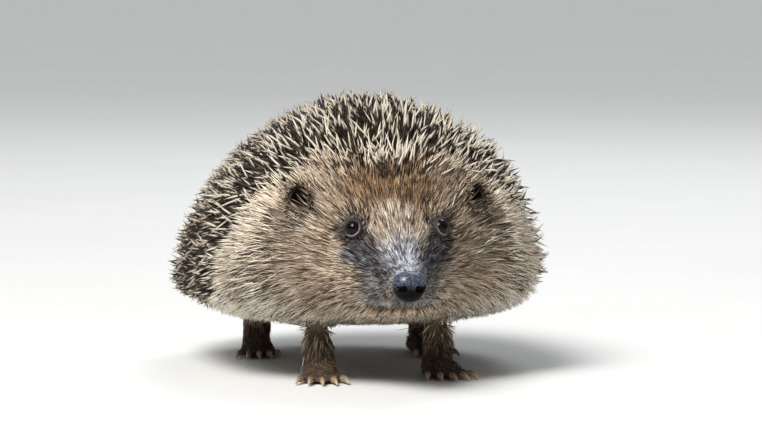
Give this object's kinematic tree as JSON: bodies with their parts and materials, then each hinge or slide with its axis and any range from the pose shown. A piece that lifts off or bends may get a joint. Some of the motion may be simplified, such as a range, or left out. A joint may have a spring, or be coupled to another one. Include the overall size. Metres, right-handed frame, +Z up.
{
  "type": "hedgehog",
  "caption": "Life-size young European hedgehog standing on four feet, head raised, spined back and long-haired skirt.",
  "frame": {"origin": "middle of the outline at floor level, under the belly", "axes": "+X to the animal's left, +Y towards its rump (it faces -Y), +Z up"},
  "size_m": [0.1302, 0.1996, 0.0985],
  "materials": {
    "spines": "banded horn, cream at the tip and root with a dark band between",
    "body_fur": "coarse brown hair with pale tips",
    "face_fur": "short hair, tan on the brow and grey on the snout",
    "bare_skin": "dark bare skin",
    "nose_skin": "moist black skin",
    "eye_black": "wet black",
    "claw_horn": "smooth horn"
  },
  "bodies": {
    "root": {"ear_left": "bare_skin", "ear_right": "bare_skin", "eye_left": "eye_black", "eye_right": "eye_black", "foreclaw_left_1": "claw_horn", "foreclaw_left_2": "claw_horn", "foreclaw_left_3": "claw_horn", "foreclaw_left_4": "claw_horn", "foreclaw_left_5": "claw_horn", "foreclaw_right_1": "claw_horn", "foreclaw_right_2": "claw_horn", "foreclaw_right_3": "claw_horn", "foreclaw_right_4": "claw_horn", "foreclaw_right_5": "claw_horn", "hindclaw_left_1": "claw_horn", "hindclaw_left_2": "claw_horn", "hindclaw_left_3": "claw_horn", "hindclaw_left_4": "claw_horn", "hindclaw_left_5": "claw_horn", "hindclaw_right_1": "claw_horn", "hindclaw_right_2": "claw_horn", "hindclaw_right_3": "claw_horn", "hindclaw_right_4": "claw_horn", "hindclaw_right_5": "claw_horn", "forefoot_left": "bare_skin", "forefoot_right": "bare_skin", "foreleg_left": "body_fur", "foreleg_right": "body_fur", "hindfoot_left": "bare_skin", "hindfoot_right": "bare_skin", "hindleg_left": "body_fur", "hindleg_right": "body_fur", "head": "face_fur", "lower_jaw": "face_fur", "neck": "body_fur", "nose": "nose_skin", "spiny_back": "spines", "tail": "body_fur", "trunk": "body_fur"}
  },
  "joints": []
}
